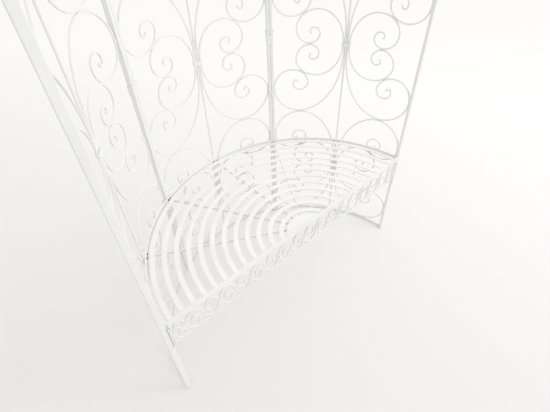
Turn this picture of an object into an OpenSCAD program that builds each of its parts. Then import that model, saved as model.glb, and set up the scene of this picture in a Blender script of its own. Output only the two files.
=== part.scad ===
// Half-round garden arch with a built-in bench.
// Three curved panels of scrollwork stand on the floor in a half circle and are bolted post to post.
// A slatted half-round seat hangs between them, and a ribbed half dome closes the top.
// Plan view: the arc's centre is the working origin, +X to the right post, +Y to the back.

/* [Wall] */
// Radius of the curved wall, to the middle of its bars
arc_r = 620; // [610:10:660]
// Straight distance across one of the three wall panels
panel_chord = 600; // [570:10:610]
// Rows of scrolls, one above the other
rows = 3; // [2:1:3]
// Height of one row of scrolls
row_h = 608; // [580:4:640]

/* [Bars] */
// Width of a post along the wall
tube_w = 12; // [10:1:14]
// Depth of a post from inside to outside
tube_d = 20; // [18:1:24]
// Thickness of the post's sheet wall
tube_wall = 1.5; // [1:0.5:2]
// Side of the square scroll bar
bar = 6; // [5:0.5:6.5]
// Diameter of the upright rod in the middle of each panel
rod_d = 8; // [7:1:9]
// Height of the curved rails at the floor and the eaves
rail_h = 12; // [10:1:16]
// Depth of those rails
rail_d = 8; // [6:1:10]
// Height of the band that ties the scrolls to the middle rod
collar_h = 14; // [10:1:18]

/* [Seat] */
// Height of the top of the slats above the floor
seat_h = 477; // [462:1:492]
// How far the seat's straight front edge stands ahead of the ends of its rim
seat_front = 1.5; // [-6:0.5:3.5]
// Number of curved slats
slats = 12; // [9:1:13]
// Width of a slat
slat_w = 18; // [14:1:22]
// Thickness of a slat
slat_t = 4; // [3:0.5:5]
// Height of the rim band and the front rail
rim_h = 26; // [24:1:30]
// Height of their upper edge above the slats
rim_rise = 5; // [2:1:7]
// Thickness of the rim band, the front rail and the end bars
rim_t = 4; // [3:0.5:5]
// Half the width of the small plate in the middle, along the front rail
hub_r = 82; // [76:1:88]

/* [Apron] */
// Height of the row of scrolls below the seat's front edge
apron_h = 95; // [85:1:105]
// Scrolls in that row, between its two end curls
apron_scrolls_n = 8; // [6:2:8]
// Width of the curl at each end of the row
end_curl_w = 47; // [44:1:52]

/* [Hood] */
// Height of the dome from the foot of its ribs to the middle of their tops
hood_rise = 450; // [420:10:520]
// Radius of the plates at the crown
crown_r = 56; // [54:1:60]
// Diameter of the ball of the finial
ball_d = 44; // [36:2:50]

/* [Fasteners] */
// Diameter of the bolts through the paired posts and the crown
bolt_d = 5; // [4:1:6]
// Diameter of the screws in the seat rim and the apron
screw_d = 4; // [3:0.5:4.5]

/* [Hidden] */
$fn = 96;
paint = [0.93, 0.93, 0.91];
steel = [0.55, 0.56, 0.58];
plastic = [0.85, 0.85, 0.84];

// Gap left at every weld and seat, and the play round a bolt or screw
weld = 0.2;
play = 0.3;

// Plan of the wall: half the angle of one panel, the middles of the panels and the joints between them
half_angle = asin(panel_chord / 2 / arc_r);
first_joint = 90 - 3 * half_angle;
panel_az = [first_joint + half_angle, 90, 180 - first_joint - half_angle];
joint_az = [for (i = [0:3]) first_joint + 2 * half_angle * i];

// Posts stand side by side at a joint, each half a post away from it
tube_off = (tube_w + weld) / 2;
tube_face = tube_w + weld / 2;

// Head of a screw
screw_head = 2 * screw_d;
screw_head_h = 2.5;

// Heights
foot_t = 3;
field_z = foot_t + rail_h;
eaves_z = field_z + rows * row_h;
post_top = eaves_z + rail_h;
collar_z = [for (i = [0:rows - 1]) field_z + (i + 0.5) * row_h];

// Seat
rim_out = arc_r - tube_d / 2 - weld;
rim_in = rim_out - rim_t;
rim_z = seat_h + rim_rise - rim_h;
front_y = rim_in * sin(first_joint) - seat_front;
seat_back_of_rail = front_y + rim_t;
// Each support passes between the two screws at its end
support_w = 2 * (tube_off - screw_head / 2 - play);
support_top = seat_h - slat_t - weld;
support_h = 12;
support_foot = [0, front_y + rim_t / 2];
support_gap = rim_t / 2 + 2.8;
function support_run(az) = (rim_in - weld) * [cos(az), sin(az)] - support_foot;
function support_heading(az) = let (run = support_run(az)) atan2(run.y, run.x);
// They start on a circle about their common foot, on which the outer two are clear of the front rail
support_root = let (a = support_heading(panel_az[0])) (support_gap + support_w / 2 * cos(a)) / sin(a);
hub_out = norm([hub_r, seat_back_of_rail + weld]);
slat_first = hub_out + 12 + slat_w / 2;
slat_last = rim_in - 10 - slat_w / 2;
slat_pitch = (slat_last - slat_first) / (slats - 1);

// Apron
apron_y = front_y + rim_t / 2;
apron_top = rim_z - weld;
apron_low = apron_top - apron_h;
function apron_reach(inset) =
    (rim_in - inset) / cos(first_joint) - apron_y * tan(first_joint) - bar / 2 * abs(tan(first_joint));
apron_half = apron_reach(weld);
apron_field = apron_reach(weld / 2 + screw_head_h + play) - bar;
apron_pitch = 2 * (apron_field - end_curl_w) / apron_scrolls_n;
end_bar_tab = 18;
// Along the end bar, from the joint's line to the apron's plane
apron_along = (apron_y - rim_in * sin(first_joint)) / cos(first_joint);
end_bar_from = min(weld / 2, apron_along - bar / 2 - 2);
end_bar_to = max(tube_face, apron_along + bar / 2 + 2);

// Dome: a tight arc from the eaves, then a wide one to the crown, both in the plane of a rib
rib_foot_z = post_top + weld;
rib_foot_h = 20;
rib_end_r = 30;
shoulder = 45;
dome_z = rib_foot_z + rib_foot_h;
dome_step = (arc_r - rib_end_r - hood_rise) / (cos(shoulder) + sin(shoulder) - 1);
dome_r1 = arc_r - rib_end_r - dome_step * cos(shoulder);
dome_r2 = dome_r1 + dome_step;
dome_c1 = [arc_r - dome_r1, dome_z];
dome_c2 = [rib_end_r, dome_z - dome_step * sin(shoulder)];
crown_z = dome_z + hood_rise;
dome_len1 = dome_r1 * shoulder * PI / 180;
dome_len = dome_len1 + dome_r2 * (90 - shoulder) * PI / 180;
dome_steps = 15;
hood_rail_h = 8;
hood_rail_top = rib_foot_z + hood_rail_h;

// Spigots that join the ribs to the posts: down into a post and up into a rib
spigot_down = 40;
spigot_up = rib_foot_h - 4;

// Crown: plates above and below the ends of the ribs
plate_t = 4;
crown_front = 24;
crown_bolt_r = 44;
crown_sag = (crown_r - rib_end_r) * tan((90 - shoulder) / dome_steps / 2) + weld;

// Fasteners
bolt_head = 2 * bolt_d;
bolt_head_h = 4;
bolt_up = 58;
bolt_z = [for (z = collar_z) z + bolt_up];
sleeve_h = 36;
sleeve_t = 1.5;
sleeve_up = 27;
screw_len = 8;
screw_z = rim_z + rim_h / 2;
apron_screw_z = [apron_low - weld - bar - end_bar_tab / 2, apron_top - end_bar_tab / 2];

// The origin is put under the middle of the whole
back_y = arc_r + max(rod_d, bar) / 2 + weld + 2;
mid_y = (back_y - crown_front) / 2;

// Angle from the middle of a panel to a line that stands clear of the post by extra, at radius r
function run_angle(r, extra) = half_angle - asin((tube_face + extra) / r);

// Quarter of an ellipse from one extreme of a curl to the next, as points and headings.
// An upright quarter leaves its first point along z.
function quarter(p, q, upright, turns) = [
    for (t = turns)
        let (d = q - p)
        upright
            ? [p + [d.x * (1 - cos(t)), d.y * sin(t)], [d.x * sin(t), d.y * cos(t)]]
            : [p + [d.x * sin(t), d.y * (1 - cos(t))], [d.x * cos(t), d.y * sin(t)]]
];

function even_turns(n) = [for (k = [1:n]) 90 * k / n];

// A curl through its extremes, one quarter of an ellipse between each pair
function curl(extremes, turns, upright) = [
    for (i = [0:len(extremes) - 2])
        each quarter(extremes[i], extremes[i + 1], i % 2 == 0 ? upright : !upright, turns[i])
];

// The same curl run backwards and mirrored in x, in z or in both
function turned(path, sx, sz) = [
    for (i = [len(path) - 1:-1:0])
        [[path[i][0].x * sx, path[i][0].y * sz], [-path[i][1].x * sx, -path[i][1].y * sz]]
];
function flipped(path, sx, sz) = [
    for (s = path) [[s[0].x * sx, s[0].y * sz], [s[1].x * sx, s[1].y * sz]]
];

function unit(v) = v / norm(v);

// Square bar through stations of point, heading and face normal
module square_bar(stations, side) {
    h = side / 2;
    n = len(stations);
    points = [
        for (s = stations)
            let (t = unit(s[1]), up = unit(s[2] - t * (t * s[2])), across = cross(t, up))
            each [
                s[0] + h * up + h * across, s[0] + h * up - h * across,
                s[0] - h * up - h * across, s[0] - h * up + h * across
            ]
    ];
    sides = [
        for (i = [0:n - 2], k = [0:3])
            let (a = 4 * i + k, b = 4 * i + (k + 1) % 4)
            each [[a, b, b + 4], [a, b + 4, a + 4]]
    ];
    last = 4 * (n - 1);
    caps = [[3, 2, 1, 0], [last, last + 1, last + 2, last + 3]];
    polyhedron(points, concat(sides, caps), convexity = 10);
}

// Stations of a flat path laid on the curved wall of the panel in the middle of az
function on_wall(path, az, z) = [
    for (s = path)
        let (a = az - s[0].x / arc_r * 180 / PI)
        [
            [arc_r * cos(a), arc_r * sin(a), z + s[0].y],
            [s[1].x * sin(a), -s[1].x * cos(a), s[1].y],
            [cos(a), sin(a), 0]
        ]
];

// Wall scrolls, half of each: x along the wall from the middle rod, y up from the collar.
// The sizes were read off a panel 298 mm from rod to post and 304 mm from collar to row end.
half_run = run_angle(arc_r, bar / 2 + weld) * arc_r * PI / 180;
half_row = row_h / 2;
sx = half_run / 298;
sz = half_row / 304;
lyre_x = rod_d / 2 + weld + bar / 2;
spine_x = lyre_x + bar + weld;
spine_straight = collar_h / 2 + 2;
lobe_top = [118 * sx, 132 * sz];
lobe_side = [203 * sx, 61 * sz];
lobe_semi = [lobe_side.x - lobe_top.x, lobe_top.y - lobe_side.y];
touch_angle = 50.4;
touch_turn = 90 - touch_angle;
touch_normal = unit([cos(touch_angle) / lobe_semi.x, sin(touch_angle) / lobe_semi.y]);

c_half = concat(
    [[[spine_x, 0], [0, 1]]],
    [[[spine_x, spine_straight], [0, 1]]],
    curl(
        [
            [spine_x, spine_straight], lobe_top, lobe_side,
            [148 * sx, bar / 2 + weld], [108 * sx, 39 * sz], [132 * sx, 64 * sz],
            [148 * sx, 51 * sz], [139 * sx, 41 * sz]
        ],
        [
            even_turns(5), [20, touch_turn, 65, 90], even_turns(4), even_turns(3),
            even_turns(3), even_turns(2), even_turns(2)
        ],
        true
    )
);

// The outer loop of the lyre has the lobe's proportions, so the two meet at one angle
loop_ratio = 72 / 85;
loop_semi = loop_ratio * lobe_semi;
loop_mid = [
    lobe_top.x + (lobe_semi.x + loop_semi.x) * cos(touch_angle) + (bar + 2 * weld) * touch_normal.x,
    lobe_side.y + (lobe_semi.y + loop_semi.y) * sin(touch_angle) + (bar + 2 * weld) * touch_normal.y
];
lyre_half = concat(
    [[[lyre_x, 44 * sz], [0, 1]]],
    curl(
        [
            [lyre_x, 44 * sz], [182 * sx, half_row - bar / 2 - weld], [half_run, 184 * sz],
            [loop_mid.x, loop_mid.y - loop_semi.y], [loop_mid.x - loop_semi.x, loop_mid.y],
            [loop_mid.x - loop_semi.x + 34 * sx, loop_mid.y + 32 * sz],
            [loop_mid.x - loop_semi.x + 64 * sx, loop_mid.y + 4 * sz],
            [loop_mid.x - loop_semi.x + 53 * sx, loop_mid.y - 13 * sz],
            [loop_mid.x - loop_semi.x + 42 * sx, loop_mid.y]
        ],
        [
            even_turns(5), even_turns(4), even_turns(4), [20, touch_turn, 65, 90],
            even_turns(3), even_turns(3), even_turns(2), even_turns(2)
        ],
        true
    )
);
c_path = concat(turned(c_half, 1, -1), [for (i = [1:len(c_half) - 1]) c_half[i]]);
lyre_path = concat(turned(lyre_half, 1, -1), lyre_half);

module lyre_scrolls(az) {
    color(paint)
    for (z = collar_z, side = [-1, 1])
        square_bar(on_wall(flipped(lyre_path, side, 1), az, z), bar);
}

module c_scrolls(az) {
    color(paint)
    for (z = collar_z, side = [-1, 1])
        square_bar(on_wall(flipped(c_path, side, 1), az, z), bar);
}

// Post at a joint: side -1 stands before the joint and +1 after it
module post(joint, side, bolted) {
    color(paint)
    rotate(joint_az[joint])
    translate([arc_r, side * tube_off, 0])
    difference() {
        translate([-tube_d / 2, -tube_w / 2, foot_t]) cube([tube_d, tube_w, post_top - foot_t]);
        translate([-tube_d / 2 + tube_wall, -tube_w / 2 + tube_wall, foot_t - 1])
            cube([tube_d - 2 * tube_wall, tube_w - 2 * tube_wall, post_top - foot_t + 2]);
        if (bolted)
            for (z = bolt_z)
                translate([0, 0, z]) rotate([90, 0, 0])
                    cylinder(h = 2 * tube_w, d = bolt_d + play, center = true);
        for (z = bolted ? [screw_z] : apron_screw_z)
            translate([-tube_d / 2, 0, z]) rotate([0, 90, 0])
                cylinder(h = 3 * tube_wall, d = screw_d + play, center = true);
    }
}

// Curved rail between the two posts of a panel
module wall_rail(az, z, height) {
    reach = run_angle(arc_r - rail_d / 2, weld);
    color(paint)
    translate([0, 0, z])
    rotate(az - reach)
    rotate_extrude(angle = 2 * reach)
    translate([arc_r - rail_d / 2, 0]) square([rail_d, height]);
}

module middle_rod(az) {
    color(paint)
    rotate(az)
    translate([arc_r, 0, field_z + weld])
        cylinder(h = eaves_z - field_z - 2 * weld, d = rod_d);
}

// Band round the middle rod, the two lyres and the two C spines
module collar(az, z) {
    half_w = spine_x + bar / 2 + weld;
    half_d = max(rod_d, bar) / 2 + weld;
    band = 2;
    rotate(az)
    translate([arc_r, 0, z])
    difference() {
        cube([2 * (half_d + band), 2 * (half_w + band), collar_h], center = true);
        cube([2 * half_d, 2 * half_w, collar_h + 2], center = true);
    }
}

module collars() {
    color(paint)
    for (az = panel_az, z = collar_z) collar(az, z);
}

// Posts by azimuth and sideways offset: the two at the front, which carry the apron, and the pairs
front_spots = [[joint_az[0], tube_off], [joint_az[3], -tube_off]];
pair_spots = [for (j = [1, 2], side = [-1, 1]) [joint_az[j], side * tube_off]];
rod_screw_off = rod_d / 2 + screw_head / 2 + 2;
rim_screws = concat(pair_spots, [for (az = panel_az, side = [-1, 1]) [az, side * rod_screw_off]]);

module seat_rim() {
    color(paint)
    difference() {
        translate([0, 0, rim_z])
        rotate(first_joint)
        rotate_extrude(angle = 180 - 2 * first_joint, $fn = 180)
        translate([rim_in, 0]) square([rim_t, rim_h]);
        for (s = rim_screws)
            rotate(s[0]) translate([rim_in, s[1], screw_z]) rotate([0, 90, 0])
                cylinder(h = 3 * rim_t, d = screw_d + play, center = true);
    }
}

module seat_front_rail() {
    half = sqrt(pow(rim_in - weld, 2) - pow(seat_back_of_rail, 2));
    color(paint)
    translate([-half, front_y, rim_z]) cube([2 * half, rim_t, rim_h]);
}

// Keeps only what lies behind the front rail
module behind_front_rail() {
    intersection() {
        children();
        translate([-arc_r, seat_back_of_rail + weld, 0]) cube([2 * arc_r, 2 * arc_r, seat_h + 1]);
    }
}

module seat_slats() {
    color(paint)
    behind_front_rail()
    for (i = [0:slats - 1])
        translate([0, 0, seat_h - slat_t])
        rotate_extrude($fn = 180)
        translate([slat_first + i * slat_pitch - slat_w / 2, 0]) square([slat_w, slat_t]);
}

module seat_hub() {
    color(paint)
    behind_front_rail()
    translate([0, 0, seat_h - slat_t]) cylinder(h = slat_t, r = hub_out);
}

// Bars under the slats, spread like a fan from the middle of the front rail to the rim
module seat_supports() {
    color(paint)
    for (az = [panel_az[0], joint_az[1], panel_az[1], joint_az[2], panel_az[2]])
        let (reach = norm(support_run(az)) - support_w / 2 * abs(tan(az - support_heading(az))) - 0.01)
        translate(support_foot)
        rotate(support_heading(az))
        translate([support_root, -support_w / 2, support_top - support_h])
            cube([reach - support_root, support_w, support_h]);
}

// Bar below the scrolls of the apron, with an upright at each end
module apron_rail() {
    color(paint)
    translate([0, apron_y - bar / 2, 0]) {
        translate([-apron_half, 0, apron_low - weld - bar]) cube([2 * apron_half, bar, bar]);
        for (x = [-apron_field - bar, apron_field])
            translate([x, 0, apron_low]) cube([bar, bar, apron_h]);
    }
}

// Upright flat bars that hold the apron to the front posts
module apron_end_bars() {
    color(paint)
    for (joint = [0, 3])
        let (side = joint == 0 ? 1 : -1)
        rotate(joint_az[joint])
        difference() {
            translate([rim_in, side > 0 ? end_bar_from : -end_bar_to, apron_low - weld - bar - end_bar_tab])
                cube([rim_t, end_bar_to - end_bar_from, apron_h + weld + bar + end_bar_tab]);
            for (z = apron_screw_z)
                translate([rim_in, side * tube_off, z]) rotate([0, 90, 0])
                    cylinder(h = 3 * rim_t, d = screw_d + play, center = true);
        }
}

// Stations of a flat path in the apron's plane
function on_apron(path, x) = [
    for (s = path)
        [[x + s[0].x, apron_y, apron_low + apron_h / 2 + s[0].y], [s[1].x, 0, s[1].y], [0, 1, 0]]
];

// Half of an S scroll: from the middle of its spine to its right-hand curl
s_half_w = apron_pitch / 2 - bar / 2 - weld;
s_half_h = apron_h / 2 - bar / 2 - weld;
s_half = concat(
    [[[0, 0], [0, -1]]],
    curl(
        [
            [0, 0], [0.52 * s_half_w, -s_half_h], [s_half_w, -0.05 * s_half_h],
            [0.55 * s_half_w, s_half_h], [0.2 * s_half_w, 0.25 * s_half_h],
            [0.5 * s_half_w, -0.25 * s_half_h], [0.68 * s_half_w, 0.1 * s_half_h]
        ],
        [even_turns(4), even_turns(4), even_turns(4), even_turns(3), even_turns(3), even_turns(2)],
        true
    )
);
s_path = concat(turned(s_half, -1, -1), [for (i = [1:len(s_half) - 1]) s_half[i]]);

module apron_s_scrolls() {
    color(paint)
    for (i = [0:apron_scrolls_n - 1])
        let (x = (i - (apron_scrolls_n - 1) / 2) * apron_pitch)
        square_bar(on_apron(flipped(s_path, x > 0 ? -1 : 1, 1), x), bar);
}

// Half of the curl at each end of the apron: its spine stands against the upright
e_w = end_curl_w - bar - 2 * weld;
e_half = concat(
    [[[0, 0], [0, 1]]],
    curl(
        [
            [0, 0], [0.5 * e_w, s_half_h], [e_w, 0.55 * s_half_h],
            [0.62 * e_w, 0.2 * s_half_h], [0.36 * e_w, 0.48 * s_half_h]
        ],
        [even_turns(4), even_turns(3), even_turns(3), even_turns(2)],
        true
    )
);
e_path = concat(turned(e_half, 1, -1), [for (i = [1:len(e_half) - 1]) e_half[i]]);

module apron_end_curls() {
    color(paint)
    for (side = [-1, 1])
        square_bar(
            on_apron(flipped(e_path, -side, 1), side * (apron_field - weld - bar / 2)), bar
        );
}

// One edge of a bent bar of the dome: beside its middle line by offset, from the foot up to an angle
function dome_edge(offset, foot, end) = concat(
    [[arc_r + offset, foot]],
    [
        for (i = [0:dome_steps])
            let (a = shoulder * i / dome_steps)
            dome_c1 + (dome_r1 + offset) * [cos(a), sin(a)]
    ],
    [
        for (i = [1:dome_steps])
            let (a = shoulder + (end - shoulder) * i / dome_steps)
            dome_c2 + (dome_r2 + offset) * [cos(a), sin(a)]
    ]
);

// Bent bar of the dome in the plane y = 0, depth deep in that plane and width wide across it
module dome_bar(depth, width, foot, end) {
    inner = dome_edge(-depth / 2, foot, end);
    rotate([90, 0, 0])
    linear_extrude(height = width, center = true)
        polygon(concat(dome_edge(depth / 2, foot, end), [for (i = [len(inner) - 1:-1:0]) inner[i]]));
}

// Rib of the dome, in the plane of a joint, set to one side of it like the post below
module rib(joint, side) {
    color(paint)
    rotate(joint_az[joint])
    difference() {
        translate([0, side * tube_off, 0])
        difference() {
            dome_bar(tube_d, tube_w, rib_foot_z, 90);
            dome_bar(tube_d - 2 * tube_wall, tube_w - 2 * tube_wall, rib_foot_z - 1, 91);
        }
        translate([crown_bolt_r, side * tube_off, crown_z])
            cylinder(h = 2 * tube_d, d = bolt_d + play, center = true);
    }
}

// Middle bar of a gore, from the hood rail to where it meets the two ribs
module hood_rod(az) {
    end_r = (tube_face + rod_d / 2 + weld) / sin(half_angle);
    color(paint)
    rotate(az) dome_bar(rod_d, rod_d, hood_rail_top + weld, acos((end_r - dome_c2.x) / dome_r2));
}

// Profile of the dome at a distance s along it: radius, height and slope, upright below its foot
function dome_at(s) =
    s < 0
        ? [arc_r, dome_z + s, 0]
    : s < dome_len1
        ? let (a = s / dome_r1 * 180 / PI)
            [dome_c1.x + dome_r1 * cos(a), dome_c1.y + dome_r1 * sin(a), a]
        : let (a = shoulder + (s - dome_len1) / dome_r2 * 180 / PI)
            [dome_c2.x + dome_r2 * cos(a), dome_c2.y + dome_r2 * sin(a), a];

function gore_angle(d) = run_angle(d[0], bar / 2 + 3 * weld);

// Point of the dome: p.x is the share of the way from the middle bar to the rib, p.y is along the dome
function dome_point(p, az) =
    let (d = dome_at(p.y), a = az - p.x * gore_angle(d))
    [d[0] * cos(a), d[0] * sin(a), d[1]];

function dome_normal(p, az) =
    let (d = dome_at(p.y), a = az - p.x * gore_angle(d))
    [cos(d[2]) * cos(a), cos(d[2]) * sin(a), sin(d[2])];

function on_dome(path, az) = [
    for (s = path)
        let (small = 0.001 * s[1])
        [
            dome_point(s[0], az),
            dome_point(s[0] + small, az) - dome_point(s[0] - small, az),
            dome_normal(s[0], az)
        ]
];

// Lyre of a gore: x as a share of the way to the rib, y along the dome.
// Its spine touches the middle bar and its lower loop stands on the hood rail.
gore_s = 0.42 * dome_len;
gore_low = hood_rail_top + weld + bar / 2 - dome_z;
gore_x = (rod_d / 2 + 2 * weld + bar / 2) / (dome_at(gore_s)[0] * gore_angle(dome_at(gore_s)) * PI / 180);
gore_lower = concat(
    [[[gore_x, gore_s], [0, -1]]],
    curl(
        [
            [gore_x, gore_s], [0.62, gore_low], [1, 0.17 * dome_len],
            [0.68, 0.31 * dome_len], [0.36, 0.19 * dome_len], [0.6, 0.11 * dome_len],
            [0.78, 0.18 * dome_len], [0.66, 0.22 * dome_len]
        ],
        [
            even_turns(5), even_turns(4), even_turns(4), even_turns(4),
            even_turns(3), even_turns(3), even_turns(2)
        ],
        true
    )
);
gore_upper = concat(
    curl(
        [
            [gore_x, gore_s], [0.62, 0.74 * dome_len], [1, 0.64 * dome_len],
            [0.66, 0.53 * dome_len], [0.4, 0.62 * dome_len], [0.62, 0.67 * dome_len]
        ],
        [even_turns(5), even_turns(4), even_turns(4), even_turns(3), even_turns(2)],
        true
    )
);
gore_path = concat(turned(gore_lower, 1, 1), gore_upper);

module hood_scrolls(az) {
    color(paint)
    for (side = [-1, 1])
        square_bar(on_dome(flipped(gore_path, side, 1), az), bar);
}

module hood_rail(az) wall_rail(az, rib_foot_z, hood_rail_h);

module crown_plate(z) {
    color(paint)
    difference() {
        translate([0, 0, z]) cylinder(h = plate_t, r = crown_r);
        translate([-2 * crown_r, -2 * crown_r - crown_front, z - 1])
            cube([4 * crown_r, 2 * crown_r, plate_t + 2]);
        crown_places() cylinder(h = 2 * (crown_z + tube_d), d = bolt_d + play, center = true);
        cylinder(h = 2 * (crown_z + tube_d), d = bolt_d + 1 + play, center = true);
    }
}

// Repeats its child at the six bolts of the crown
module crown_places() {
    for (s = concat(front_spots, pair_spots))
        rotate(s[0]) translate([crown_bolt_r, s[1], 0]) children();
}

module crown_lower_plate() crown_plate(crown_z - tube_d / 2 - crown_sag - plate_t);

module crown_upper_plate() crown_plate(crown_z + tube_d / 2 + weld);

finial_z = crown_z + tube_d / 2 + 2 * weld + plate_t;
stem_h = 26;

module finial() {
    color(paint)
    difference() {
        union() {
            translate([0, 0, finial_z]) cylinder(h = 5, r = 22);
            translate([0, 0, finial_z]) cylinder(h = stem_h + 4, r = 8);
            translate([0, 0, finial_z + stem_h + ball_d / 2 - 2]) sphere(d = ball_d);
        }
        translate([0, 0, finial_z - 1]) cylinder(h = 21, d = bolt_d + 1 + play);
    }
}

// Stud with a hexagonal head below the crown
module finial_stud() {
    low = crown_z - tube_d / 2 - crown_sag - plate_t - weld;
    color(steel)
    union() {
        translate([0, 0, low - bolt_head_h]) cylinder(h = bolt_head_h, r = bolt_d + 1, $fn = 6);
        translate([0, 0, low - 1]) cylinder(h = finial_z + 18 - low + 1, d = bolt_d + 1);
    }
}

// Sleeve pressed round a pair of posts
module post_sleeves() {
    in_d = tube_d + 2 * weld;
    in_w = 2 * tube_face + 2 * weld;
    color(paint)
    for (joint = [1, 2], z = collar_z)
        rotate(joint_az[joint])
        translate([arc_r, 0, z + sleeve_up])
        difference() {
            cube([in_d + 2 * sleeve_t, in_w + 2 * sleeve_t, sleeve_h], center = true);
            cube([in_d, in_w, sleeve_h + 2], center = true);
        }
}

// Repeats its child at each bolt of the paired posts, with z along the bolt
module post_bolt_places() {
    for (joint = [1, 2], z = bolt_z)
        rotate(joint_az[joint]) translate([arc_r, 0, z]) rotate([90, 0, 0]) children();
}

module hex_bolt(length) {
    cylinder(h = length, d = bolt_d);
    translate([0, 0, -bolt_head_h]) cylinder(h = bolt_head_h + 0.01, d = bolt_head / cos(30), $fn = 6);
}

module hex_nut() {
    difference() {
        cylinder(h = bolt_d, d = bolt_head / cos(30), $fn = 6);
        translate([0, 0, -1]) cylinder(h = bolt_d + 2, d = bolt_d + weld);
    }
}

module post_bolts() {
    color(paint)
    post_bolt_places()
    translate([0, 0, -tube_face - weld]) hex_bolt(2 * tube_face + 2 * weld + bolt_d + 3);
}

module post_nuts() {
    color(paint)
    post_bolt_places()
    translate([0, 0, tube_face + weld]) hex_nut();
}

// Saddles between the rim and the middle rods: their backs stand just clear of the scrolls
module rod_clips() {
    half_w = rod_screw_off + screw_head / 2 + 1;
    back = sqrt(pow(arc_r - bar / 2, 2) - pow(half_w, 2)) - weld;
    color(paint)
    for (az = panel_az)
        rotate(az)
        difference() {
            translate([rim_out + weld, -half_w, rim_z]) cube([back - rim_out - weld, 2 * half_w, rim_h]);
            translate([arc_r, 0, rim_z - 1]) cylinder(h = rim_h + 2, d = rod_d + 2 * weld);
            for (side = [-1, 1])
                translate([rim_in, side * rod_screw_off, screw_z]) rotate([0, 90, 0])
                    cylinder(h = 2 * (arc_r - rim_in), d = screw_d + play);
        }
}

module screw(length) {
    rotate([0, 90, 0]) {
        cylinder(h = length, d = screw_d);
        translate([0, 0, -screw_head_h]) cylinder(h = screw_head_h + 0.01, d = screw_head);
    }
}

module seat_screws() {
    color(steel)
    union() {
        for (s = rim_screws)
            let (seat_x = sqrt(pow(rim_in, 2) - pow(abs(s[1]) + screw_head / 2, 2)) - weld / 2)
            rotate(s[0]) translate([seat_x, s[1], screw_z]) screw(screw_len);
        for (s = front_spots, z = apron_screw_z)
            rotate(s[0]) translate([rim_in - weld / 2, s[1], z]) screw(screw_len);
    }
}

// Repeats its child at the foot of each post, with its length along x
module post_places() {
    for (s = concat(front_spots, pair_spots))
        rotate(s[0]) translate([arc_r, s[1], 0]) children();
}

module rib_spigots() {
    w = tube_w - 2 * tube_wall - 2 * weld;
    d = tube_d - 2 * tube_wall - 2 * weld;
    color(steel)
    post_places()
    translate([-d / 2, -w / 2, post_top - spigot_down]) cube([d, w, spigot_down + weld + spigot_up]);
}

module foot_caps() {
    w = tube_w - 2 * tube_wall - 2 * weld;
    d = tube_d - 2 * tube_wall - 2 * weld;
    color(plastic)
    post_places()
    union() {
        translate([-tube_d / 2, -tube_w / 2, 0]) cube([tube_d, tube_w, foot_t - weld]);
        translate([-d / 2, -w / 2, 0]) cube([d, w, foot_t + 15]);
    }
}

module crown_bolts() {
    top = crown_z + tube_d / 2 + 2 * weld + plate_t;
    low = crown_z - tube_d / 2 - crown_sag - plate_t - weld;
    color(steel)
    crown_places()
    translate([0, 0, top]) rotate([180, 0, 0]) hex_bolt(top - low + bolt_d + 3);
}

module crown_nuts() {
    low = crown_z - tube_d / 2 - crown_sag - plate_t - weld;
    color(steel)
    crown_places()
    translate([0, 0, low - bolt_d]) hex_nut();
}

module placed() translate([0, -mid_y, 0]) children();

placed() post(0, 1, false);  // right_front_post
placed() post(1, -1, true);  // right_rear_post
placed() post(1, 1, true);  // back_right_post
placed() post(2, -1, true);  // back_left_post
placed() post(2, 1, true);  // left_rear_post
placed() post(3, -1, false);  // left_front_post
placed() wall_rail(panel_az[0], foot_t, rail_h);  // right_floor_rail
placed() wall_rail(panel_az[1], foot_t, rail_h);  // back_floor_rail
placed() wall_rail(panel_az[2], foot_t, rail_h);  // left_floor_rail
placed() wall_rail(panel_az[0], eaves_z, rail_h);  // right_eaves_rail
placed() wall_rail(panel_az[1], eaves_z, rail_h);  // back_eaves_rail
placed() wall_rail(panel_az[2], eaves_z, rail_h);  // left_eaves_rail
placed() middle_rod(panel_az[0]);  // right_middle_rod
placed() middle_rod(panel_az[1]);  // back_middle_rod
placed() middle_rod(panel_az[2]);  // left_middle_rod
placed() lyre_scrolls(panel_az[0]);  // right_lyre_scrolls
placed() lyre_scrolls(panel_az[1]);  // back_lyre_scrolls
placed() lyre_scrolls(panel_az[2]);  // left_lyre_scrolls
placed() c_scrolls(panel_az[0]);  // right_c_scrolls
placed() c_scrolls(panel_az[1]);  // back_c_scrolls
placed() c_scrolls(panel_az[2]);  // left_c_scrolls
placed() collars();
placed() seat_rim();
placed() seat_front_rail();
placed() seat_slats();
placed() seat_hub();
placed() seat_supports();
placed() apron_rail();
placed() apron_end_bars();
placed() apron_s_scrolls();
placed() apron_end_curls();
placed() rib(0, 1);  // right_front_rib
placed() rib(1, -1);  // right_rear_rib
placed() rib(1, 1);  // back_right_rib
placed() rib(2, -1);  // back_left_rib
placed() rib(2, 1);  // left_rear_rib
placed() rib(3, -1);  // left_front_rib
placed() hood_rail(panel_az[0]);  // right_hood_rail
placed() hood_rail(panel_az[1]);  // back_hood_rail
placed() hood_rail(panel_az[2]);  // left_hood_rail
placed() hood_rod(panel_az[0]);  // right_hood_rod
placed() hood_rod(panel_az[1]);  // back_hood_rod
placed() hood_rod(panel_az[2]);  // left_hood_rod
placed() hood_scrolls(panel_az[0]);  // right_hood_scrolls
placed() hood_scrolls(panel_az[1]);  // back_hood_scrolls
placed() hood_scrolls(panel_az[2]);  // left_hood_scrolls
placed() crown_lower_plate();
placed() crown_upper_plate();
placed() finial();
placed() finial_stud();
placed() post_sleeves();
placed() post_bolts();
placed() post_nuts();
placed() rod_clips();
placed() seat_screws();
placed() rib_spigots();
placed() foot_caps();
placed() crown_bolts();
placed() crown_nuts();
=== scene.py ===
import math
import random

import bmesh
import bpy
from mathutils import Matrix, Vector


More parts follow.
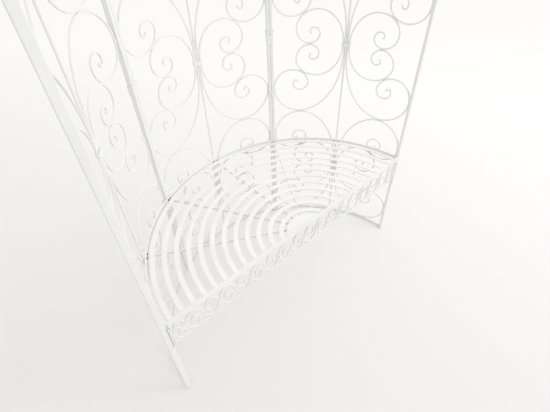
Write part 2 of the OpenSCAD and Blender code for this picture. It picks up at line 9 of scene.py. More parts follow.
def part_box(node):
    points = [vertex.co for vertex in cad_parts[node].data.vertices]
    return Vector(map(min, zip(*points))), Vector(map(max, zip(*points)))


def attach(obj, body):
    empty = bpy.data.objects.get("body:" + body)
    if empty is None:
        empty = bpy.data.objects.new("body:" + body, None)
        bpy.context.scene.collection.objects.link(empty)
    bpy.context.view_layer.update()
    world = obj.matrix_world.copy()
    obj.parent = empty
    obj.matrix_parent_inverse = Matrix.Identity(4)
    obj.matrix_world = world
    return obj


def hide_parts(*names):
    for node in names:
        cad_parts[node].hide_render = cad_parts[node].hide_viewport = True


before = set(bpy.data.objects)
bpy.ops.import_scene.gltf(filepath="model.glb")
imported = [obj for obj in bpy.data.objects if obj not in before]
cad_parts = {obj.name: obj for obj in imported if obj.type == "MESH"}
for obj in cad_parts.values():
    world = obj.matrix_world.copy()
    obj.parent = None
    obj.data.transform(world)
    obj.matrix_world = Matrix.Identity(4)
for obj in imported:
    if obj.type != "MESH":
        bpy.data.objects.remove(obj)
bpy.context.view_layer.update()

# The arc's centre stands under the finial; every piece is worked out from it and then shifted by this
finial_low, finial_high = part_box("finial")
CENTRE = Vector((0.0, (finial_low.y + finial_high.y) / 2, 0.0))

# Wall, in metres
ARC_R = 0.620
PANEL_CHORD = 0.600
ROWS = 3
ROW_H = 0.608
TUBE_W = 0.012
TUBE_D = 0.020
TUBE_WALL = 0.0015
BAR = 0.006
ROD_D = 0.008
RAIL_H = 0.012
RAIL_D = 0.008
COLLAR_H = 0.014
COLLAR_T = 0.002
COLLAR_SPACE = 0.002
WELD = 0.0002
PLAY = 0.0003

# Seat and apron
SEAT_H = 0.477
SEAT_FRONT = 0.0015
SLATS = 12
SLAT_W = 0.018
SLAT_T = 0.004
RIM_H = 0.026
RIM_RISE = 0.005
RIM_T = 0.004
HUB_HALF_W = 0.082
HUB_SPACE = 0.012
RIM_SPACE = 0.010
SUPPORT_H = 0.012
SUPPORT_SETBACK = 0.0028
APRON_H = 0.095
APRON_SCROLLS = 8
END_CURL_W = 0.047
END_BAR_TAB = 0.018
END_BAR_SPACE = 0.002

# Hood and crown
HOOD_RISE = 0.450
RIB_END_R = 0.030
RIB_FOOT_H = 0.020
SHOULDER = math.radians(45)
HOOD_RAIL_H = 0.008
CROWN_R = 0.056
CROWN_FRONT = 0.024
CROWN_BOLT_R = 0.044
BALL_D = 0.044
BALL_SINK = 0.002
BALL_END = 0.06
STEM_H = 0.026
STEM_R = 0.008
STEM_FLARE = 0.0075
FINIAL_FOOT_R = 0.022
FINIAL_FOOT_H = 0.005
FINIAL_FOOT_BEVEL = (0.0015, 0.0012)

# Fasteners
BOLT_D = 0.005
BOLT_HEAD = 2 * BOLT_D
BOLT_HEAD_H = 0.004
BOLT_TAIL = 0.003
BOLT_UP = 0.058
SLEEVE_H = 0.036
SLEEVE_T = 0.0015
SLEEVE_UP = 0.027
SCREW_D = 0.004
SCREW_HEAD = 2 * SCREW_D
SCREW_HEAD_H = 0.0025
SCREW_LEN = 0.008
ROD_SCREW_SPACE = 0.002
STUD_D = BOLT_D + 0.001
STUD_HEAD = BOLT_HEAD + 0.001
STUD_IN_FINIAL = 0.018

# Rounding of the steel's edges, and how far a bar's end is chamfered
BAR_EDGE = 0.0009
TUBE_EDGE = 0.0022
FLAT_EDGE = 0.0009
SLAT_EDGE = 0.0012
STRAP_EDGE = 0.0026
HUB_EDGE = 0.001
PLATE_EDGE = 0.0012
FASTENER_EDGE = 0.0005
END_EDGE = 0.0006
INNER_EDGE = 0.0003
LEAST_EDGE = 0.0001

# Edges that turn by more than this are shaded sharp
SHARP_ANGLE = math.radians(50)

# Steps round corners, round turned parts and along curves
CORNER_STEPS = 3
TURN_STEPS = 48
SHANK_STEPS = 24
ROD_STEPS = 20
FLARE_STEPS = 6
BALL_STEPS = 24
CURL_STEPS = 10
RAIL_STEPS = 48
DOME_STEPS = 40
HUB_STEPS = 48
SLAT_STEPS = 96
RIM_STEPS = 120

# Plan of the wall
HALF_ANGLE = math.asin(PANEL_CHORD / 2 / ARC_R)
FIRST_JOINT = math.pi / 2 - 3 * HALF_ANGLE
JOINT_AZ = [FIRST_JOINT + 2 * HALF_ANGLE * i for i in range(4)]
PANEL_AZ = [FIRST_JOINT + HALF_ANGLE * (2 * i + 1) for i in range(3)]
PANELS = ["right", "back", "left"]
TUBE_OFF = (TUBE_W + WELD) / 2
TUBE_FACE = TUBE_W + WELD / 2
POSTS = [
    ("right_front", 0, 1), ("right_rear", 1, -1), ("back_right", 1, 1),
    ("back_left", 2, -1), ("left_rear", 2, 1), ("left_front", 3, -1),
]

# Heights
FOOT_T = 0.003
FIELD_Z = FOOT_T + RAIL_H
EAVES_Z = FIELD_Z + ROWS * ROW_H
POST_TOP = EAVES_Z + RAIL_H
COLLAR_Z = [FIELD_Z + (i + 0.5) * ROW_H for i in range(ROWS)]

# Places of the seat's parts
RIM_OUT = ARC_R - TUBE_D / 2 - WELD
RIM_IN = RIM_OUT - RIM_T
RIM_R = RIM_IN + RIM_T / 2
RIM_Z = SEAT_H + RIM_RISE - RIM_H
RIM_MID = RIM_Z + RIM_H / 2
ROD_SCREW_OFF = ROD_D / 2 + SCREW_HEAD / 2 + ROD_SCREW_SPACE
FRONT_Y = RIM_IN * math.sin(FIRST_JOINT) - SEAT_FRONT
FRONT_MID = FRONT_Y + RIM_T / 2
SEAT_EDGE = FRONT_Y + RIM_T + WELD
SUPPORT_AZ = [PANEL_AZ[0], JOINT_AZ[1], PANEL_AZ[1], JOINT_AZ[2], PANEL_AZ[2]]
SUPPORT_W = 2 * (TUBE_OFF - SCREW_HEAD / 2 - PLAY)
SUPPORT_TOP = SEAT_H - SLAT_T - WELD
SUPPORT_FOOT = Vector((0.0, FRONT_MID, 0.0))
SUPPORT_GAP = RIM_T / 2 + SUPPORT_SETBACK
HUB_R = math.hypot(HUB_HALF_W, SEAT_EDGE)
SLAT_FIRST = HUB_R + HUB_SPACE + SLAT_W / 2
SLAT_LAST = RIM_IN - RIM_SPACE - SLAT_W / 2
SLAT_PITCH = (SLAT_LAST - SLAT_FIRST) / (SLATS - 1)
SLAT_R = [SLAT_FIRST + i * SLAT_PITCH for i in range(SLATS)]

# Places of the apron's parts
APRON_TOP = RIM_Z - WELD
APRON_LOW = APRON_TOP - APRON_H
APRON_MID = APRON_LOW + APRON_H / 2
APRON_ALONG = (FRONT_MID - RIM_IN * math.sin(FIRST_JOINT)) / math.cos(FIRST_JOINT)
APRON_SCREW_Z = [APRON_LOW - WELD - BAR - END_BAR_TAB / 2, APRON_TOP - END_BAR_TAB / 2]


def apron_reach(inset):
    """Half the length of a bar that ends clear of the end bars' inner faces by inset."""
    lean = math.tan(FIRST_JOINT)
    return (RIM_IN - inset) / math.cos(FIRST_JOINT) - FRONT_MID * lean - BAR / 2 * abs(lean)


APRON_HALF = apron_reach(WELD)
APRON_FIELD = apron_reach(WELD / 2 + SCREW_HEAD_H + PLAY) - BAR
APRON_PITCH = 2 * (APRON_FIELD - END_CURL_W) / APRON_SCROLLS
APRON_X = [(i - (APRON_SCROLLS - 1) / 2) * APRON_PITCH for i in range(APRON_SCROLLS)]

# Dome: a tight arc and then a wide one, both in the plane of a rib
RIB_FOOT_Z = POST_TOP + WELD
DOME_Z = RIB_FOOT_Z + RIB_FOOT_H
DOME_STEP = (ARC_R - RIB_END_R - HOOD_RISE) / (math.cos(SHOULDER) + math.sin(SHOULDER) - 1)
DOME_R1 = ARC_R - RIB_END_R - DOME_STEP * math.cos(SHOULDER)
DOME_R2 = DOME_R1 + DOME_STEP
DOME_C1 = (ARC_R - DOME_R1, DOME_Z)
DOME_C2 = (RIB_END_R, DOME_Z - DOME_STEP * math.sin(SHOULDER))
DOME_LEN1 = DOME_R1 * SHOULDER
DOME_LEN = DOME_LEN1 + DOME_R2 * (math.pi / 2 - SHOULDER)
HOOD_RAIL_TOP = RIB_FOOT_Z + HOOD_RAIL_H

# Curved rails of a panel: name, lower face and height
RAILS = [
    ("floor", FOOT_T, RAIL_H), ("eaves", EAVES_Z, RAIL_H), ("hood", RIB_FOOT_Z, HOOD_RAIL_H),
]


def polar(az, r, z=0.0, across=0.0):
    """A point at radius r in the direction az, moved sideways by across."""
    return Vector((
        r * math.cos(az) - across * math.sin(az),
        r * math.sin(az) + across * math.cos(az),
        z,
    ))


def outward(az):
    return Vector((math.cos(az), math.sin(az), 0.0))


def sideways(az):
    return Vector((-math.sin(az), math.cos(az), 0.0))


UP = Vector((0.0, 0.0, 1.0))


# Solids are pairs of vertices and faces; a piece joins several of them
def rounded(w, h, r, inset=0.0):
    """Outline of a rectangle w by h with rounded corners, drawn in by inset."""
    half_w = w / 2 - inset
    half_h = h / 2 - inset
    r = min(max(r - inset, LEAST_EDGE), half_w, half_h)
    points = []
    corners = ((1, 1, 0), (-1, 1, 90), (-1, -1, 180), (1, -1, 270))
    for x_sign, y_sign, start in corners:
        for k in range(CORNER_STEPS + 1):
            a = math.radians(start + 90 * k / CORNER_STEPS)
            x = x_sign * (half_w - r) + r * math.cos(a)
            y = y_sign * (half_h - r) + r * math.sin(a)
            points.append((x, y))
    return points


def closed(rings):
    """Solid through rings of points, closed at both ends."""
    n = len(rings[0])
    vertices = [p for ring in rings for p in ring]
    faces = []
    for i in range(len(rings) - 1):
        for k in range(n):
            a = i * n + k
            b = i * n + (k + 1) % n
            faces.append((a, b, b + n, a + n))
    faces.append(tuple(range(n - 1, -1, -1)))
    faces.append(tuple(range((len(rings) - 1) * n, len(rings) * n)))
    return vertices, faces


def hollow(outer, inner):
    """Tube between outer and inner rings, with a flat rim at each end."""
    n = len(outer[0])
    count = len(outer)
    vertices = [p for ring in outer for p in ring] + [p for ring in inner for p in ring]
    shift = count * n
    faces = []
    for i in range(count - 1):
        for k in range(n):
            a = i * n + k
            b = i * n + (k + 1) % n
            faces.append((a, b, b + n, a + n))
            faces.append((shift + b, shift + a, shift + a + n, shift + b + n))
    for k in range(n):
        b = (k + 1) % n
        faces.append((b, k, shift + k, shift + b))
        top = (count - 1) * n
        faces.append((top + k, top + b, shift + top + b, shift + top + k))
    return vertices, faces


def ring_at(station, outline):
    """The outline's points round a station of point, heading and face normal."""
    point, heading, normal = station
    t = heading.normalized()
    up = (normal - t * t.dot(normal)).normalized()
    across = t.cross(up)
    return [point + up * x + across * y for x, y in outline]


def moved(station, distance):
    """The station shifted along its own heading."""
    point, heading, normal = station
    return (point + heading.normalized() * distance, heading, normal)


def swept(stations, w, h, edge):
    """Bar of a rounded rectangle swept through stations; w lies along the face normal."""
    body = rounded(w, h, edge)
    end = rounded(w, h, edge, END_EDGE)
    rings = [ring_at(stations[0], end), ring_at(moved(stations[0], END_EDGE), body)]
    rings += [ring_at(s, body) for s in stations[1:-1]]
    rings += [ring_at(moved(stations[-1], -END_EDGE), body), ring_at(stations[-1], end)]
    return closed(rings)


def swept_tube(stations, w, h, edge, wall):
    """Hollow bar swept through stations."""
    outer = rounded(w, h, edge)
    inner = rounded(w - 2 * wall, h - 2 * wall, max(edge - wall, INNER_EDGE))
    return hollow(
        [ring_at(s, outer) for s in stations],
        [ring_at(s, inner) for s in stations],
    )


def straight(start, end, normal, w, h, edge):
    """Straight bar from start to end; w lies along normal and h across it."""
    heading = end - start
    middle = (start + end) / 2
    stations = [(point, heading, normal) for point in (start, middle, end)]
    return swept(stations, w, h, edge)


def arc_bar(r, z, depth, height, first, last, steps, edge=FLAT_EDGE):
    """Bar on an arc about the centre, its middle at radius r and height z.
    first and last give the angle at each end for a point's own radius."""
    body = rounded(depth, height, edge)
    end = rounded(depth, height, edge, END_EDGE)
    rings = []
    shares = [0.0, END_EDGE / r] + [k / steps for k in range(1, steps)] + [1 - END_EDGE / r, 1.0]
    for i, share in enumerate(shares):
        outline = end if i in (0, len(shares) - 1) else body
        ring = []
        for x, y in outline:
            a = first(r + x) + (last(r + x) - first(r + x)) * share
            ring.append(polar(a, r + x, z + y))
        rings.append(ring)
    return closed(rings)


def lathe(profile, steps, shape=None):
    """Solid of revolution about z through a profile of radius and height.
    shape gives the outline of a profile point as a factor of its radius at each angle."""
    rings = []
    for i, (r, z) in enumerate(profile):
        ring = []
        for k in range(steps):
            a = 2 * math.pi * k / steps
            factor = shape(i, a) if shape else 1.0
            ring.append(Vector((r * factor * math.cos(a), r * factor * math.sin(a), z)))
        rings.append(ring)
    return closed(rings)


def round_bar(d, length, edge, steps):
    """Round bar along z from z = 0, with both its ends chamfered."""
    r = d / 2
    return lathe([(r - edge, 0.0), (r, edge), (r, length - edge), (r - edge, length)], steps)


def hexagon(a):
    """Radius of a hexagon of unit inner radius in the direction a."""
    third = math.pi / 3
    return 1 / math.cos(a % third - third / 2)


def placed(solid, origin, axis, side):
    """A solid built along z, set at origin with its z along axis and its x towards side."""
    z = axis.normalized()
    x = (side - z * z.dot(side)).normalized()
    y = z.cross(x)
    vertices, faces = solid
    return [origin + x * v.x + y * v.y + z * v.z for v in vertices], faces


def half_disc(radius, chord_y, z0, z1, edge):
    """Part of a disc behind the line y = chord_y, with its edges rounded."""
    rings = []
    near = 0.3 * edge
    for inset, z in (
        (edge, z0), (near, z0 + near), (0.0, z0 + edge),
        (0.0, z1 - edge), (near, z1 - near), (edge, z1),
    ):
        r = radius - inset
        start = math.asin((chord_y + inset) / r)
        sweep = math.pi - 2 * start
        rings.append([polar(start + sweep * k / HUB_STEPS, r, z) for k in range(HUB_STEPS + 1)])
    return closed(rings)


# Materials
def emptied(owner):
    """Nodes and links of a material or a world, with none left in them."""
    owner.use_nodes = True
    owner.node_tree.nodes.clear()
    return owner.node_tree.nodes, owner.node_tree.links


def node_material(name):
    material = bpy.data.materials.new(name)
    nodes, links = emptied(material)
    output = nodes.new("ShaderNodeOutputMaterial")
    shader = nodes.new("ShaderNodeBsdfPrincipled")
    links.new(shader.outputs["BSDF"], output.inputs["Surface"])
    place = nodes.new("ShaderNodeTexCoord").outputs["Object"]
    return material, nodes, links, shader, place


def noise(nodes, links, place, scale, detail, roughness=0.5):
    texture = nodes.new("ShaderNodeTexNoise")
    texture.inputs["Scale"].default_value = scale
    texture.inputs["Detail"].default_value = detail
    texture.inputs["Roughness"].default_value = roughness
    links.new(place, texture.inputs["Vector"])
    return texture.outputs["Fac"]


def spread(nodes, links, value, low, high, from_low=0.3, from_high=0.7):
    """A value that runs from low to high while the one given runs from from_low to from_high."""
    mapped = nodes.new("ShaderNodeMapRange")
    mapped.inputs["From Min"].default_value = from_low
    mapped.inputs["From Max"].default_value = from_high
    mapped.inputs["To Min"].default_value = low
    mapped.inputs["To Max"].default_value = high
    links.new(value, mapped.inputs["Value"])
    return mapped.outputs["Result"]


def mixed(nodes, links, factor, a, b):
    """A colour between a and b; either may be a socket or plain numbers."""
    mix = nodes.new("ShaderNodeMix")
    mix.data_type = "RGBA"
    links.new(factor, mix.inputs["Factor"])
    for value, socket in ((a, mix.inputs["A"]), (b, mix.inputs["B"])):
        if isinstance(value, tuple):
            socket.default_value = (*value, 1.0)
        else:
            links.new(value, socket)
    return mix.outputs["Result"]


def bumped(nodes, links, shader, layers):
    """Bump from several heights, each with its depth in metres and strength."""
    normal = None
    for height, depth, strength in layers:
        bump = nodes.new("ShaderNodeBump")
        bump.inputs["Distance"].default_value = depth
        bump.inputs["Strength"].default_value = strength
        links.new(height, bump.inputs["Height"])
        if normal is not None:
            links.new(normal, bump.inputs["Normal"])
        normal = bump.outputs["Normal"]
    links.new(normal, shader.inputs["Normal"])


GRIME = (0.50, 0.46, 0.40)
BARE_STEEL = (0.20, 0.15, 0.12)


def painted(name, light, dull, grime, chips):
    """White powder coat with a fine peel, slow changes of tone, specks of grime and small chips."""
    material, nodes, links, shader, place = node_material(name)
    cloud = noise(nodes, links, place, scale=9.0, detail=4.0)
    tone = mixed(nodes, links, spread(nodes, links, cloud, 0.0, 1.0), light, dull)
    speckle = noise(nodes, links, place, scale=140.0, detail=6.0, roughness=0.7)
    dirt = spread(nodes, links, speckle, 0.0, grime, from_low=0.52, from_high=0.78)
    tone = mixed(nodes, links, dirt, tone, GRIME)
    spots = noise(nodes, links, place, scale=75.0, detail=2.0)
    chipped = spread(nodes, links, spots, 0.0, chips, from_low=0.745, from_high=0.765)
    tone = mixed(nodes, links, chipped, tone, BARE_STEEL)
    links.new(tone, shader.inputs["Base Color"])
    patches = noise(nodes, links, place, scale=26.0, detail=3.0)
    links.new(spread(nodes, links, patches, 0.34, 0.5), shader.inputs["Roughness"])
    shader.inputs["Coat Weight"].default_value = 0.15
    shader.inputs["Coat Roughness"].default_value = 0.3
    peel = noise(nodes, links, place, scale=900.0, detail=2.0)
    bumped(nodes, links, shader, [(peel, 0.0002, 0.25), (patches, 0.0006, 0.15)])
    return material


def grained(name, light, dull, patch_scale, detail, grain_scale, smooth, rough, metallic=0.0):
    """Material with a fine grain and with patches, which are rougher as they near the dull tone."""
    material, nodes, links, shader, place = node_material(name)
    patches = noise(nodes, links, place, patch_scale, detail)
    tone = mixed(nodes, links, spread(nodes, links, patches, 0.0, 1.0), light, dull)
    links.new(tone, shader.inputs["Base Color"])
    shader.inputs["Metallic"].default_value = metallic
    links.new(spread(nodes, links, patches, smooth, rough), shader.inputs["Roughness"])
    grain = noise(nodes, links, place, grain_scale, detail=2.0)
    bumped(nodes, links, shader, [(grain, 0.0001, 0.3)])
    return material


def bare_steel(name, light, dull):
    return grained(
        name, light, dull, patch_scale=160.0, detail=4.0, grain_scale=1400.0,
        smooth=0.28, rough=0.5, metallic=1.0,
    )


PAINT = painted(
    "white_powder_coat", light=(0.88, 0.88, 0.868), dull=(0.83, 0.83, 0.817), grime=0.08, chips=0.0,
)
WELD_PAINT = painted(
    "powder_coat_on_welds", light=(0.85, 0.85, 0.836), dull=(0.78, 0.775, 0.76), grime=0.22, chips=0.22,
)
STEEL = bare_steel("zinc_plated_steel", light=(0.24, 0.24, 0.25), dull=(0.12, 0.12, 0.125))
# Near-black steel for the seat screws, far darker than the other fasteners' steel
SCREW_DARK_STEEL = bare_steel("dark_screw_steel", light=(0.05, 0.045, 0.042), dull=(0.025, 0.022, 0.02))
PLASTIC = grained(
    "foot_cap_plastic", light=(0.74, 0.73, 0.70), dull=(0.60, 0.59, 0.55),
    patch_scale=60.0, detail=5.0, grain_scale=1200.0, smooth=0.5, rough=0.7,
)


def piece(name, solids, material, nodes=()):
    """One visible piece made of closed solids; it stands for the CAD nodes named."""
    vertices = []
    faces = []
    for points, polygons in solids:
        base = len(vertices)
        vertices += [p + CENTRE for p in points]
        faces += [tuple(base + i for i in f) for f in polygons]
    mesh = bpy.data.meshes.new(name)
    mesh.from_pydata([tuple(v) for v in vertices], [], faces)
    work = bmesh.new()
    work.from_mesh(mesh)
    bmesh.ops.recalc_face_normals(work, faces=work.faces)
    for face in work.faces:
        face.smooth = True
    work.to_mesh(mesh)
    work.free()
    mesh.set_sharp_from_angle(angle=SHARP_ANGLE)
    mesh.materials.append(material)
    obj = bpy.data.objects.new(name, mesh)
    bpy.context.scene.collection.objects.link(obj)
    shading = obj.modifiers.new("face_normals", "WEIGHTED_NORMAL")
    shading.keep_sharp = True
    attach(obj, "root")
    if nodes:
        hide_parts(*nodes)


# Curls: quarters of ellipses from one extreme to the next, as points with headings
def quarter(p, q, upright):
    """Quarter of an ellipse from p to q; it sets out along y where upright, or else along x."""
    dx = q[0] - p[0]
    dy = q[1] - p[1]
    out = []
    for k in range(1, CURL_STEPS + 1):
        t = math.pi / 2 * k / CURL_STEPS
        c = math.cos(t)
        s = math.sin(t)
        if upright:
            out.append(((p[0] + dx * (1 - c), p[1] + dy * s), (dx * s, dy * c)))
        else:
            out.append(((p[0] + dx * s, p[1] + dy * (1 - c)), (dx * c, dy * s)))
    return out


def curl(extremes):
    """Quarters of ellipses through the extremes, the first of which sets out along y."""
    path = []
    for i in range(len(extremes) - 1):
        path += quarter(extremes[i], extremes[i + 1], i % 2 == 0)
    return path


def turned(path, sx, sy):
    """The same curl run backwards and mirrored."""
    return [((p[0] * sx, p[1] * sy), (-t[0] * sx, -t[1] * sy)) for p, t in reversed(path)]


def flipped(path, sx, sy):
    """The same curl mirrored."""
    return [((p[0] * sx, p[1] * sy), (t[0] * sx, t[1] * sy)) for p, t in path]


def run_angle(r, extra):
    """Angle from the middle of a panel to a line that stands clear of the post by extra."""
    return HALF_ANGLE - math.asin((TUBE_FACE + extra) / r)


# Wall scrolls: x along the wall from the middle rod, y up from the collar
HALF_RUN = run_angle(ARC_R, BAR / 2 + WELD) * ARC_R
HALF_ROW = ROW_H / 2
DRAWN_W = 298
DRAWN_H = 304
X_UNIT = HALF_RUN / DRAWN_W
Y_UNIT = HALF_ROW / DRAWN_H
LYRE_X = ROD_D / 2 + WELD + BAR / 2
SPINE_X = LYRE_X + BAR + WELD
SPINE_STRAIGHT = COLLAR_H / 2 + COLLAR_SPACE
LOBE_TOP = (118 * X_UNIT, 132 * Y_UNIT)
LOBE_SIDE = (203 * X_UNIT, 61 * Y_UNIT)
LOBE_SEMI = (LOBE_SIDE[0] - LOBE_TOP[0], LOBE_TOP[1] - LOBE_SIDE[1])
TOUCH_ANGLE = math.radians(50.4)
TOUCH_NORMAL = Vector((
    math.cos(TOUCH_ANGLE) / LOBE_SEMI[0], math.sin(TOUCH_ANGLE) / LOBE_SEMI[1]
)).normalized()
LOOP_RATIO = 72 / 85
LOOP_SEMI = (LOOP_RATIO * LOBE_SEMI[0], LOOP_RATIO * LOBE_SEMI[1])
LOOP_MID = (
    LOBE_TOP[0] + (LOBE_SEMI[0] + LOOP_SEMI[0]) * math.cos(TOUCH_ANGLE)
    + (BAR + 2 * WELD) * TOUCH_NORMAL.x,
    LOBE_SIDE[1] + (LOBE_SEMI[1] + LOOP_SEMI[1]) * math.sin(TOUCH_ANGLE)
    + (BAR + 2 * WELD) * TOUCH_NORMAL.y,
)
LOOP_IN = LOOP_MID[0] - LOOP_SEMI[0]
LYRE_TOP = (182 * X_UNIT, HALF_ROW - BAR / 2 - WELD)
LYRE_SIDE = (HALF_RUN, 184 * Y_UNIT)
C_EYE = (148 * X_UNIT, BAR / 2 + WELD)


def c_path():
    start = (SPINE_X, SPINE_STRAIGHT)
    half = [((SPINE_X, 0.0), (0.0, 1.0)), (start, (0.0, 1.0))]
    half += curl([
        start, LOBE_TOP, LOBE_SIDE, C_EYE,
        (108 * X_UNIT, 39 * Y_UNIT), (132 * X_UNIT, 64 * Y_UNIT),
        (148 * X_UNIT, 51 * Y_UNIT), (139 * X_UNIT, 41 * Y_UNIT),
    ])
    return turned(half, 1, -1) + half[1:]


def lyre_path():
    start = (LYRE_X, 44 * Y_UNIT)
    half = [(start, (0.0, 1.0))]
    half += curl([
        start, LYRE_TOP, LYRE_SIDE,
        (LOOP_MID[0], LOOP_MID[1] - LOOP_SEMI[1]), (LOOP_IN, LOOP_MID[1]),
        (LOOP_IN + 34 * X_UNIT, LOOP_MID[1] + 32 * Y_UNIT),
        (LOOP_IN + 64 * X_UNIT, LOOP_MID[1] + 4 * Y_UNIT),
        (LOOP_IN + 53 * X_UNIT, LOOP_MID[1] - 13 * Y_UNIT),
        (LOOP_IN + 42 * X_UNIT, LOOP_MID[1]),
    ])
    return turned(half, 1, -1) + half


def on_wall(path, az, z):
    """Stations of a flat path laid on the curved wall of the panel in the middle of az."""
    out = []
    for p, t in path:
        a = az - p[0] / ARC_R
        point = polar(a, ARC_R, z + p[1])
        heading = -sideways(a) * t[0] + UP * t[1]
        out.append((point, heading, outward(a)))
    return out


def on_apron(path, x):
    """Stations of a flat path laid in the plane of the apron, from x along it."""
    out = []
    for p, t in path:
        point = Vector((x + p[0], FRONT_MID, APRON_MID + p[1]))
        out.append((point, Vector((t[0], 0.0, t[1])), Vector((0, 1, 0))))
    return out


def dome_at(s):
    """Radius, height and slope of the dome at a distance s along it."""
    if s < 0:
        return ARC_R, DOME_Z + s, 0.0
    if s < DOME_LEN1:
        a = s / DOME_R1
        return DOME_C1[0] + DOME_R1 * math.cos(a), DOME_C1[1] + DOME_R1 * math.sin(a), a
    a = SHOULDER + (s - DOME_LEN1) / DOME_R2
    return DOME_C2[0] + DOME_R2 * math.cos(a), DOME_C2[1] + DOME_R2 * math.sin(a), a


def gore_angle(s):
    """Angle from the middle bar of a gore to its scroll's widest reach, at a distance s up the dome."""
    return run_angle(dome_at(s)[0], BAR / 2 + 3 * WELD)


def dome_point(f, s, az):
    """Point of the dome: f is the share of the way from the middle bar to the rib."""
    r, z, _ = dome_at(s)
    return polar(az - f * gore_angle(s), r, z)


def on_dome(path, az):
    """Stations of a path laid on the dome, its points given as shares across and distances up."""
    out = []
    small = 0.001
    for (f, s), (tf, ts) in path:
        _, _, slope = dome_at(s)
        a = az - f * gore_angle(s)
        normal = outward(a) * math.cos(slope) + UP * math.sin(slope)
        ahead = dome_point(f + small * tf, s + small * ts, az)
        behind = dome_point(f - small * tf, s - small * ts, az)
        out.append((dome_point(f, s, az), ahead - behind, normal))
    return out


GORE_S = 0.42 * DOME_LEN
GORE_LOW = HOOD_RAIL_TOP + WELD + BAR / 2 - DOME_Z
GORE_X = (ROD_D / 2 + 2 * WELD + BAR / 2) / (dome_at(GORE_S)[0] * gore_angle(GORE_S))
GORE_TURN = 0.62
GORE_WIDE = [0.17 * DOME_LEN, 0.64 * DOME_LEN]


def gore_path():
    lower = [((GORE_X, GORE_S), (0.0, -1.0))]
    lower += curl([
        (GORE_X, GORE_S), (GORE_TURN, GORE_LOW), (1.0, GORE_WIDE[0]),
        (0.68, 0.31 * DOME_LEN), (0.36, 0.19 * DOME_LEN), (0.6, 0.11 * DOME_LEN),
        (0.78, 0.18 * DOME_LEN), (0.66, 0.22 * DOME_LEN),
    ])
    upper = curl([
        (GORE_X, GORE_S), (GORE_TURN, 0.74 * DOME_LEN), (1.0, GORE_WIDE[1]),
        (0.66, 0.53 * DOME_LEN), (0.4, 0.62 * DOME_LEN), (0.62, 0.67 * DOME_LEN),
    ])
    return turned(lower, 1, 1) + upper


S_HALF_W = APRON_PITCH / 2 - BAR / 2 - WELD
S_HALF_H = APRON_H / 2 - BAR / 2 - WELD
S_TURN = 0.52 * S_HALF_W
S_HOOK = 0.55 * S_HALF_W
END_W = END_CURL_W - BAR - 2 * WELD
END_TURN = 0.5 * END_W
END_TOUCH = 0.3 * APRON_H


def s_path():
    half = [((0.0, 0.0), (0.0, -1.0))]
    half += curl([
        (0.0, 0.0), (S_TURN, -S_HALF_H), (S_HALF_W, -0.05 * S_HALF_H),
        (S_HOOK, S_HALF_H), (0.2 * S_HALF_W, 0.25 * S_HALF_H),
        (0.5 * S_HALF_W, -0.25 * S_HALF_H), (0.68 * S_HALF_W, 0.1 * S_HALF_H),
    ])
    return turned(half, -1, -1) + half[1:]


def end_curl_path():
    half = [((0.0, 0.0), (0.0, 1.0))]
    half += curl([
        (0.0, 0.0), (END_TURN, S_HALF_H), (END_W, 0.55 * S_HALF_H),
        (0.62 * END_W, 0.2 * S_HALF_H), (0.36 * END_W, 0.48 * S_HALF_H),
    ])
    return turned(half, 1, -1) + half[1:]


def bar_along(path):
    return swept(path, BAR, BAR, BAR_EDGE)


# Wall
def make_posts():
    for name, joint, side in POSTS:
        az = JOINT_AZ[joint]
        low = polar(az, ARC_R, FOOT_T, side * TUBE_OFF)
        high = polar(az, ARC_R, POST_TOP, side * TUBE_OFF)
        middle = (low + high) / 2
        stations = [(p, UP, outward(az)) for p in (low, middle, high)]
        solid = swept_tube(stations, TUBE_D, TUBE_W, TUBE_EDGE, TUBE_WALL)
        piece(name + "_post_tube", [solid], PAINT, [name + "_post"])


def wall_rail(az, z, height):
    reach = run_angle(ARC_R - RAIL_D / 2, WELD)
    return arc_bar(ARC_R, z + height / 2, RAIL_D, height,
                   lambda r: az - reach, lambda r: az + reach, RAIL_STEPS)


def make_panels():
    for name, az in zip(PANELS, PANEL_AZ):
        for level, z, height in RAILS:
            node = f"{name}_{level}_rail"
            piece(node + "_bar", [wall_rail(az, z, height)], PAINT, [node])
        length = EAVES_Z - FIELD_Z - 2 * WELD
        rod = round_bar(ROD_D, length, END_EDGE, ROD_STEPS)
        rod = placed(rod, polar(az, ARC_R, FIELD_Z + WELD), UP, outward(az))
        piece(name + "_middle_rod_bar", [rod], PAINT, [name + "_middle_rod"])
        for kind, path in (("lyre_scrolls", lyre_path()), ("c_scrolls", c_path())):
            solids = []
            for z in COLLAR_Z:
                for side in (-1, 1):
                    solids.append(bar_along(on_wall(flipped(path, side, 1), az, z)))
            piece(f"{name}_{kind}_bent", solids, PAINT, [f"{name}_{kind}"])


def band(az, z, depth, width, height, wall):
    """Hollow band round a bundle, standing on its height about z."""
    origin = polar(az, ARC_R, 0.0)
    stations = [(origin + UP * (z + h), UP, outward(az)) for h in (-height / 2, 0.0, height / 2)]
    return swept_tube(stations, depth + 2 * wall, width + 2 * wall, STRAP_EDGE, wall)


def make_collars():
    width = 2 * (SPINE_X + BAR / 2 + WELD)
    depth = max(ROD_D, BAR) + 2 * WELD
    solids = [band(az, z, depth, width, COLLAR_H, COLLAR_T) for az in PANEL_AZ for z in COLLAR_Z]
    piece("collar_straps", solids, PAINT, ["collars"])


def make_sleeves():
    depth = TUBE_D + 2 * WELD
    width = 2 * TUBE_FACE + 2 * WELD
    solids = []
    for joint in (1, 2):
        for z in COLLAR_Z:
            solids.append(band(JOINT_AZ[joint], z + SLEEVE_UP, depth, width, SLEEVE_H, SLEEVE_T))
    piece("post_sleeve_straps", solids, PAINT, ["post_sleeves"])


# Seat
def seat_end(r):
    """Angle at which an arc of radius r meets the front rail's back face."""
    return math.asin(SEAT_EDGE / r)


